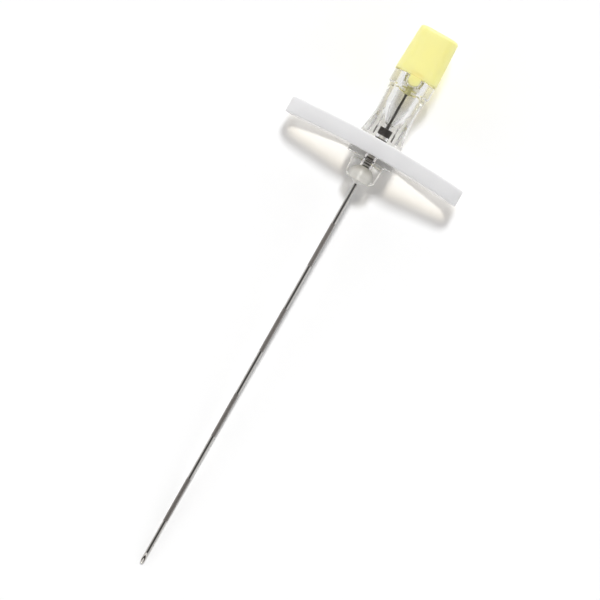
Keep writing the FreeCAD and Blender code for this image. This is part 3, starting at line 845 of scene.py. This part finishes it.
@dataclass
class Hub:
    """The clear hub: keyed rim, fluted waist, wing seat and nose, with socket, funnel and well."""

    rim_x: float = -23.9
    rim_radius: float = 4.6
    rim_height: float = 2.7
    rim_step: float = 0.35
    waist_curve: float = 29.0
    flange_radius: float = 4.7
    flange_back_x: float = -9.9
    wing_back_x: float = -9.3
    seat_radius: float = 3.7
    front_flange_x: float = -5.78
    front_flange_radius: float = 5.1
    front_flange_thickness: float = 1.2
    nose_base_radius: float = 3.5
    nose_end_radius: float = 3.2
    nose_chamfer: float = 0.7
    well_mouth_radius: float = 1.7
    well_depth: float = 3.2
    well_curve: float = 3.5
    cannula_back_x: float = -12.5
    cannula_seat_radius: float = 0.46
    throat_radius: float = 0.36
    funnel_knee_radius: float = 0.8
    funnel_knee_distance: float = 0.45
    socket_mouth_radius: float = 2.15
    socket_depth: float = 6.9
    socket_end_radius: float = 1.943
    flute_count: int = 4
    flute_radius: float = 2.0
    flute_floor_radius: float = 3.5
    flute_length: float = 6.4
    flute_run_out: float = 3.6
    flute_lift: float = 0.9
    key_floor: float = 2.95
    key_half_width: float = 1.35
    key_straight: float = 1.35
    key_curve: float = 1.6
    rim_rounding: float = 0.25
    edge_rounding: float = 0.12
    step_rounding: float = 0.15
    wing_side_rounding: float = 0.08
    seat_rounding: float = 0.05
    front_flange_back_rounding: float = 0.1
    front_flange_rounding: float = 0.3
    nose_root_rounding: float = 0.2
    nose_rounding: float = 0.4
    nose_face_rounding: float = 0.3
    knee_rounding: float = 0.2
    socket_end_rounding: float = 1.5
    waist_steps: int = 24
    well_steps: int = 10
    longest_step: float = 0.45
    count: int = 360
    sleeve: AnchorSleeve = field(default_factory=AnchorSleeve)
    finish: ClearPlastic = field(default_factory=ClearPlastic)

    def outline(self) -> Profile:
        """The closed profile, from the socket's mouth over the outside and back through the inside.

        Returns:
            (place along the axis, radius) of each point.
        """
        neck_x = self.rim_x + self.rim_height
        step_x = neck_x + self.rim_step
        step_radius = self.rim_radius - self.rim_step
        step = (step_x, step_radius)
        flange = (self.flange_back_x, self.flange_radius)
        waist = arc_points(step, flange, -self.waist_curve, self.waist_steps)
        mouth = (0.0, self.well_mouth_radius)
        bottom = (-self.well_depth, self.sleeve.radius)
        well = arc_points(mouth, bottom, -self.well_curve, self.well_steps)
        socket_end_x = self.rim_x + self.socket_depth
        nose_x = self.front_flange_x + self.front_flange_thickness
        knee_x = self.cannula_back_x - self.funnel_knee_distance
        corners = [
            (self.rim_x, self.socket_mouth_radius, self.edge_rounding),
            (self.rim_x, self.rim_radius, self.rim_rounding),
            (neck_x, self.rim_radius, self.edge_rounding),
            (step_x, step_radius, self.step_rounding),
            *[(x, radius, 0.0) for x, radius in waist],
            (self.flange_back_x, self.flange_radius, self.edge_rounding),
            (self.wing_back_x, self.flange_radius, self.wing_side_rounding),
            (self.wing_back_x, self.seat_radius, self.seat_rounding),
            (self.front_flange_x, self.seat_radius, self.seat_rounding),
            (self.front_flange_x, self.front_flange_radius, self.front_flange_back_rounding),
            (nose_x, self.front_flange_radius, self.front_flange_rounding),
            (nose_x, self.nose_base_radius, self.nose_root_rounding),
            (-self.nose_chamfer, self.nose_end_radius, self.nose_rounding),
            (0.0, self.nose_end_radius - self.nose_chamfer, self.nose_face_rounding),
            (0.0, self.well_mouth_radius, self.seat_rounding),
            *[(x, radius, 0.0) for x, radius in well],
            (-self.well_depth, self.sleeve.radius, 0.0),
            (self.sleeve.back_x, self.sleeve.radius, 0.0),
            (self.sleeve.back_x, self.cannula_seat_radius, 0.0),
            (self.cannula_back_x, self.cannula_seat_radius, 0.0),
            (self.cannula_back_x, self.throat_radius, 0.0),
            (knee_x, self.funnel_knee_radius, self.knee_rounding),
            (socket_end_x, self.socket_end_radius, self.socket_end_rounding),
        ]
        return spread(rounded_loop(corners), self.longest_step)

    def limit(self, x: float, angle: float) -> float:
        """Greatest radius left by the flutes and the key's notch.

        Args:
            x: place along the axis.
            angle: angle from +Z.

        Returns:
            The radius there, or infinity where nothing is cut.
        """
        greatest = math.inf
        flute_start = self.flange_back_x - self.flute_length
        if flute_start <= x <= self.flange_back_x:
            turn = 2 * math.pi / self.flute_count
            away = angle % turn - turn / 2
            run_out = max(0.0, 1.0 - (x - flute_start) / self.flute_run_out)
            lift = self.flute_lift * run_out * run_out
            middle = self.flute_floor_radius + self.flute_radius + lift
            inside = self.flute_radius**2 - (middle * math.sin(away)) ** 2
            if inside > 0:
                greatest = middle * math.cos(away) - math.sqrt(inside)
        across = abs(math.sin(angle))
        if math.cos(angle) > 0:
            floor = self.key_floor / math.cos(angle)
            y = min(floor, self.rim_radius) * across
            if y < self.key_half_width:
                bulge = math.sqrt(self.key_curve**2 - y * y)
                bulge -= math.sqrt(self.key_curve**2 - self.key_half_width**2)
                if x < self.rim_x + self.key_straight + bulge:
                    greatest = min(greatest, floor)
        return greatest

    def build(self) -> None:
        """Builds the hub in place of its CAD node."""
        shell = Shell()
        shell.lathe(self.outline(), self.count, self.limit)
        shell.build("hub_look", Body.NEEDLE, "clear_hub", ["hub"], [self.finish.material()])


@dataclass
class Adhesive:
    """The cured epoxy that fills the nose's well and climbs a little up the cannula."""

    meniscus_length: float = 0.7
    meniscus_radius: float = 0.5
    meniscus_curve: float = 1.5
    inner_radius: float = 0.44
    press: float = 0.01
    steps: int = 10
    count: int = 96
    hub: Hub = field(default_factory=Hub)
    finish: Epoxy = field(default_factory=Epoxy)

    def build(self) -> None:
        """Builds the adhesive in place of its CAD node."""
        depth = self.hub.well_depth
        mouth = (0.0, self.hub.well_mouth_radius + self.press)
        bottom = (-depth, self.hub.sleeve.radius + self.press)
        top = (self.meniscus_length, self.meniscus_radius)
        well = arc_points(mouth, bottom, -self.hub.well_curve, self.steps)
        slope = arc_points(mouth, top, -self.meniscus_curve, self.steps)
        profile = [(self.meniscus_length, self.inner_radius), (-depth, self.inner_radius), bottom]
        profile += list(reversed(well)) + [mouth] + slope + [top]
        shell = Shell()
        shell.lathe(profile, self.count)
        shell.build("adhesive_look", Body.NEEDLE, "epoxy", ["adhesive"], [self.finish.material()])


@dataclass
class Wing:
    """The frosted wing: a rim, a thin web in its middle plane and a boss round the hub's seat.

    The rim takes most light away near its front edge, so that edge draws the dark loop of the
    wing's shadow. Its rear and the web let the light through.
    """

    span: float = 39.8
    height: float = 11.4
    depth: float = 3.5
    flat_length: float = 13.0
    end_radius: float = 3.8
    wall: float = 0.9
    web: float = 0.9
    sweep: float = 290.0
    rounding: float = 0.35
    front_x: float = -5.8
    boss_radius: float = 5.1
    bore_radius: float = 3.72
    dense_depth: float = 2.1
    wall_rounding: float = 0.12
    longest_step: float = 0.9
    web_reach: float = 0.8
    web_overlap: float = 0.3
    web_steps: int = 12
    boss_set_back: float = 0.05
    boss_rounding: float = 0.2
    boss_bore_rounding: float = 0.05
    boss_count: int = 160
    flat_steps: int = 8
    slant_steps: int = 16
    end_steps: int = 12
    dense: FrostedPlastic = FrostedPlastic(
        "polypropylene_moulded_frosted_dense", shadow_clear="#c2c0be", shadow_steep="#999795"
    )
    open_rear: FrostedPlastic = FrostedPlastic(
        "polypropylene_moulded_frosted_rear", shadow_clear="#f8f5f0", shadow_steep="#d8d5d0"
    )
    thin: FrostedPlastic = FrostedPlastic(
        "polypropylene_moulded_frosted_thin", "#fcfaf5", "#f3f0ea", through=0.45
    )

    def outline(self, inset: float) -> Profile:
        """The wing seen along the axis.

        Args:
            inset: how far inside the outer outline.

        Returns:
            (y, z) of the outline's points, the same number for every inset.
        """
        flat = self.flat_length / 2
        top = self.height / 2 - inset
        radius = self.end_radius - inset
        centre = self.span / 2 - self.end_radius
        run = centre - flat
        lean = math.atan2(top, run) - math.asin(radius / math.hypot(run, top))
        quarter: Profile = [(flat * step / self.flat_steps, top) for step in range(self.flat_steps)]
        touch = (centre + radius * math.sin(lean), radius * math.cos(lean))
        for step in range(self.slant_steps):
            share = step / self.slant_steps
            quarter.append((flat + (touch[0] - flat) * share, top + (touch[1] - top) * share))
        for step in range(self.end_steps):
            angle = math.pi / 2 - lean - (math.pi / 2 - lean) * step / self.end_steps
            quarter.append((centre + radius * math.cos(angle), radius * math.sin(angle)))
        end = [(centre + radius, 0.0)]
        right = quarter + end + [(y, -z) for y, z in reversed(quarter[1:])]
        left = [(0.0, -top)] + [(-y, z) for y, z in reversed(right[1:])]
        return right + left

    def bow(self, y: float) -> float:
        """How far the swept wing leans towards the tip at a distance from the axis."""
        return self.sweep - math.sqrt(self.sweep**2 - y * y)

    def add_rim(self, shell: Shell) -> list[int]:
        """Adds the rim that runs round the wing.

        Args:
            shell: where the faces go.

        Returns:
            The numbers of the faces behind the dense front.
        """
        back_x = self.front_x - self.depth
        dense_x = self.front_x - self.dense_depth
        corners = [
            (back_x, 0.0, self.rounding),
            (dense_x, 0.0, 0.0),
            (self.front_x, 0.0, self.rounding),
            (self.front_x, self.wall, self.wall_rounding),
            (dense_x, self.wall, 0.0),
            (back_x, self.wall, self.wall_rounding),
        ]
        section = spread(rounded_loop(corners), self.longest_step)
        rings = [[(x + self.bow(y), y, z) for y, z in self.outline(inset)] for x, inset in section]
        shell.tube(rings, closed=True)
        band = len(rings[0])
        rear: list[int] = []
        for number, (x, _) in enumerate(section):
            next_x = section[(number + 1) % len(section)][0]
            if (x + next_x) / 2 < dense_x:
                rear += range(band * number, band * (number + 1))
        return rear

    def add_web(self, shell: Shell) -> range:
        """Adds the thin web between the rim and the boss. Its edges lie inside both.

        Args:
            shell: where the faces go.

        Returns:
            The numbers of the web's faces.
        """
        first_face = len(shell.faces)
        middle = self.front_x - self.depth / 2
        edge = self.outline(self.wall * self.web_reach)
        hole = self.boss_radius - self.web_overlap
        rings = []
        for side in (-1, 1):
            for step in range(self.web_steps + 1):
                share = step / self.web_steps if side < 0 else 1 - step / self.web_steps
                ring = []
                for y, z in edge:
                    reach = math.hypot(y, z)
                    part = (hole + (max(reach, hole) - hole) * share) / reach
                    x = middle + side * self.web / 2 + self.bow(y * part)
                    ring.append((x, y * part, z * part))
                rings.append(ring)
        shell.tube(rings, closed=True)
        return range(first_face, len(shell.faces))

    def add_boss(self, shell: Shell) -> None:
        """Adds the boss round the hub's seat.

        Args:
            shell: where the faces go.
        """
        back_x = self.front_x - self.depth + self.boss_set_back
        front_x = self.front_x - self.boss_set_back
        corners = [
            (back_x, self.bore_radius, self.boss_bore_rounding),
            (back_x, self.boss_radius, self.boss_rounding),
            (front_x, self.boss_radius, self.boss_rounding),
            (front_x, self.bore_radius, self.boss_bore_rounding),
        ]
        shell.lathe(rounded_loop(corners), self.boss_count)

    def build(self) -> None:
        """Builds the wing in place of its CAD node."""
        shell = Shell()
        rear = self.add_rim(shell)
        web = self.add_web(shell)
        self.add_boss(shell)
        finishes = {
            WingPart.FRONT: self.dense,
            WingPart.REAR: self.open_rear,
            WingPart.WEB: self.thin,
        }
        materials = [finishes[part].material() for part in WingPart]
        piece = shell.build("wing_look", Body.NEEDLE, "frosted_wing", ["wing"], materials)
        for numbers, part in ((rear, WingPart.REAR), (web, WingPart.WEB)):
            for number in numbers:
                piece.data.polygons[number].material_index = part


@dataclass
class StyletCap:
    """The yellow cap: a cored, slightly tapered block with a post, a plug and a key tongue."""

    base_x: float = -23.94
    base_width: float = 9.4
    top_width: float = 8.5
    length: float = 10.2
    corner: float = 2.2
    rounding: float = 0.6
    wall: float = 0.8
    top_wall: float = 0.9
    plug_base_radius: float = 2.12
    plug_length: float = 0.9
    plug_taper: float = 0.06
    plug_chamfer: float = 0.2
    post_radius: float = 0.65
    post_length: float = 3.6
    wire_radius: float = 0.275
    key_width: float = 2.5
    key_straight: float = 1.3
    key_curve: float = 1.5
    key_floor: float = 3.05
    key_top: float = 4.6
    key_chamfer: float = 0.1
    mouth_chamfer: float = 0.08
    core_chamfer: float = 0.05
    smallest_corner: float = 0.1
    corner_steps: int = 10
    side_steps: int = 8
    rounding_steps: int = 8
    post_root: float = 0.4
    post_core_radius: float = 0.05
    plug_rounding: float = 0.1
    longest_step: float = 1.0
    key_steps: int = 12
    post_count: int = 128
    hub: Hub = field(default_factory=Hub)
    finish: FrostedPlastic = FrostedPlastic(
        "polypropylene_moulded_yellow",
        shadow_clear="#f3f1e6",
        shadow_steep="#d6d3c2",
        colour="#f9f3ac",
        flow_colour="#f4eea4",
        roughness=0.4,
        spread_mm=1.5,
        through=0.1,
    )

    def section(self, x: float, inset: float) -> list[Point]:
        """A rounded square across the cap.

        Args:
            x: place along the axis.
            inset: how far inside the outer face.

        Returns:
            The points of the section.
        """
        share = (self.base_x - x) / self.length
        half = (self.base_width + (self.top_width - self.base_width) * share) / 2 - inset
        radius = max(self.corner - inset, self.smallest_corner)
        straight = half - radius
        centre = Vector((straight, straight))
        points: list[Point] = []
        for turn in range(4):
            for step in range(self.corner_steps + 1):
                angle = math.pi / 2 * step / self.corner_steps
                place = centre + Vector((math.cos(angle), math.sin(angle))) * radius
                y, z = place.x, place.y
                for _ in range(turn):
                    y, z = -z, y
                points.append((x, y, z))
        return points

    def add_block(self, shell: Shell) -> None:
        """Adds the cored block, from the core's floor over the mouth and the sides to the top.

        Args:
            shell: where the faces go.
        """
        top_x = self.base_x - self.length
        rings = [
            self.section(top_x + self.top_wall, self.wall),
            self.section(self.base_x - self.core_chamfer, self.wall),
            self.section(self.base_x, self.wall + self.core_chamfer),
            self.section(self.base_x, self.mouth_chamfer),
            self.section(self.base_x - self.mouth_chamfer, 0.0),
        ]
        side = self.length - self.rounding
        for step in range(1, self.side_steps):
            rings.append(self.section(self.base_x - side * step / self.side_steps, 0.0))
        for step in range(self.rounding_steps + 1):
            angle = math.pi / 2 * step / self.rounding_steps
            x = top_x + self.rounding * (1 - math.sin(angle))
            rings.append(self.section(x, self.rounding * (1 - math.cos(angle))))
        shell.tube(rings)

    def add_post(self, shell: Shell) -> None:
        """Adds the post that holds the wire, with the taper plug round it.

        Args:
            shell: where the faces go.
        """
        root_x = self.base_x - self.length + self.top_wall - self.post_root
        plug_x = self.base_x - self.wall
        plug_end_x = self.hub.rim_x + self.plug_length
        plug_end_radius = self.plug_base_radius - self.plug_length * self.plug_taper / 2
        post_end_x = self.hub.rim_x + self.post_length
        corners = [
            (root_x, self.post_core_radius, 0.0),
            (root_x, self.post_radius, 0.0),
            (plug_x, self.post_radius, self.plug_rounding),
            (plug_x, self.plug_base_radius, self.plug_rounding),
            (self.hub.rim_x, self.plug_base_radius, 0.0),
            (plug_end_x - self.plug_chamfer, plug_end_radius, self.plug_rounding),
            (plug_end_x, plug_end_radius - self.plug_chamfer, self.plug_rounding),
            (plug_end_x, self.post_radius, self.plug_rounding),
            (post_end_x, self.post_radius, self.plug_rounding),
            (post_end_x, self.wire_radius, 0.0),
        ]
        shell.lathe(spread(rounded_loop(corners), self.longest_step), self.post_count)

    def add_key(self, shell: Shell) -> None:
        """Adds the key tongue that sits in the rim's notch.

        Args:
            shell: where the faces go.
        """
        half = self.key_width / 2
        start_x = self.base_x - self.wall
        round_x = self.hub.rim_x + self.key_straight
        outline: Profile = [(start_x, -half), (round_x, -half)]
        outline += arc_points((round_x, -half), (round_x, half), -self.key_curve, self.key_steps)
        outline += [(round_x, half), (start_x, half)]
        levels = [
            (self.key_floor, self.key_chamfer),
            (self.key_floor + self.key_chamfer, 0.0),
            (self.key_top - self.key_chamfer, 0.0),
            (self.key_top, self.key_chamfer),
        ]
        rings = []
        for z, inset in levels:
            rings.append([(x - inset, y * (1 - inset / half), z) for x, y in outline])
        shell.tube(rings)

    def build(self) -> None:
        """Builds the cap in place of its CAD node."""
        shell = Shell()
        self.add_block(shell)
        self.add_post(shell)
        self.add_key(shell)
        materials = [self.finish.material()]
        shell.build("stylet_cap_look", Body.STYLET, "yellow_cap", ["stylet_cap"], materials)


# Stage


@dataclass
class Stage:
    """White table, lamp, world and camera. The camera's place is in mm in the row frame."""

    camera_place: Point = (16.945, 2.109, 499.678)
    camera_right: Point = (-0.4924, 0.8702, 0.01706)
    camera_up: Point = (-0.86963, -0.4927, 0.03156)
    camera_back: Point = (0.03587, 0.0007, 0.99936)
    field_of_view_deg: float = 14.09
    sensor_width: float = 36.0
    nearest_m: float = 0.01
    farthest_m: float = 20.0
    table_half_m: float = 3.0
    table_colour: str = "#ffffff"
    lamp_direction: Point = (-0.505, -0.11, 0.856)
    lamp_strength: float = 2.35
    lamp_spread_deg: float = 11.0
    wall_strength: float = 1.0
    opening_strength: float = 0.08
    opening_from: float = 0.25
    opening_to: float = 0.85

    def build(self) -> None:
        """Builds the stage."""
        self.build_table()
        self.build_lamp()
        self.build_world()
        self.build_camera()

    def build_table(self) -> None:
        """A wide white sheet under the needle."""
        half = self.table_half_m
        corners = [(-half, -half, 0), (half, -half, 0), (half, half, 0), (-half, half, 0)]
        mesh = bpy.data.meshes.new("table")
        mesh.from_pydata(corners, [], [(0, 1, 2, 3)])
        table = bpy.data.objects.new("table", mesh)
        bpy.context.scene.collection.objects.link(table)
        graph = Graph.of_material("table_white_laminate")
        shader = graph.add("BsdfDiffuse", {"Color": linear(self.table_colour)})
        mesh.materials.append(graph.finish(shader))

    def build_lamp(self) -> None:
        """One soft lamp from beyond the cap."""
        data = bpy.data.lights.new("key_lamp", "SUN")
        data.energy = self.lamp_strength
        data.angle = math.radians(self.lamp_spread_deg)
        lamp = bpy.data.objects.new("key_lamp", data)
        lamp.rotation_mode = "QUATERNION"
        lamp.rotation_quaternion = Vector(self.lamp_direction).to_track_quat("Z", "Y")
        bpy.context.scene.collection.objects.link(lamp)

    def build_world(self) -> None:
        """A light tent with bright walls and a dim opening overhead, plain white to the camera."""
        world = bpy.data.worlds.new("light_tent")
        bpy.context.scene.world = world
        graph = Graph(world)
        direction = graph.add("TexCoord", output="Generated")
        height = graph.add("SeparateXYZ", {0: direction}, "Z")
        fade = {
            "Value": height,
            "From Min": self.opening_from,
            "From Max": self.opening_to,
            "To Min": self.wall_strength,
            "To Max": self.opening_strength,
        }
        strength = graph.add("MapRange", fade, interpolation_type="SMOOTHSTEP")
        tent = graph.add("Background", {"Color": WHITE, "Strength": strength})
        plain = graph.add("Background", {"Color": WHITE, "Strength": 1.0})
        is_camera = graph.add("LightPath", output="Is Camera Ray")
        graph.finish(graph.add("MixShader", {0: is_camera, 1: tent, 2: plain}))

    def build_camera(self) -> None:
        """The camera, almost straight above the needle."""
        data = bpy.data.cameras.new("camera")
        data.type = "PERSP"
        data.sensor_fit = "HORIZONTAL"
        data.sensor_width = self.sensor_width
        data.lens = data.sensor_width / 2 / math.tan(math.radians(self.field_of_view_deg) / 2)
        data.clip_start = self.nearest_m
        data.clip_end = self.farthest_m
        camera = bpy.data.objects.new("camera", data)
        bpy.context.scene.collection.objects.link(camera)
        turn = Matrix((self.camera_right, self.camera_up, self.camera_back)).transposed()
        camera.matrix_world = Matrix.Translation(Vector(self.camera_place) * MM) @ turn.to_4x4()
        bpy.context.scene.camera = camera


def let_light_wander(scene: bpy.types.Scene) -> None:
    """Lets a ray bounce about inside the clear hub until it finds its way out.

    Args:
        scene: the scene to be rendered.
    """
    scene.cycles.max_bounces = RAY_BOUNCES
    scene.cycles.glossy_bounces = RAY_BOUNCES
    scene.cycles.transmission_bounces = RAY_BOUNCES
    scene.cycles.transparent_max_bounces = RAY_BOUNCES


def main() -> None:
    """Builds the looks round the frame."""
    logging.basicConfig(level=logging.INFO, format="%(message)s")
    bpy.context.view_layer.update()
    for piece in (Cannula(), StyletWire(), AnchorSleeve(), Hub(), Adhesive(), Wing(), StyletCap()):
        piece.build()
    Stage().build()
    let_light_wander(bpy.context.scene)
    bpy.context.scene.view_settings.view_transform = "Standard"


if __name__ == "__main__":
    main()
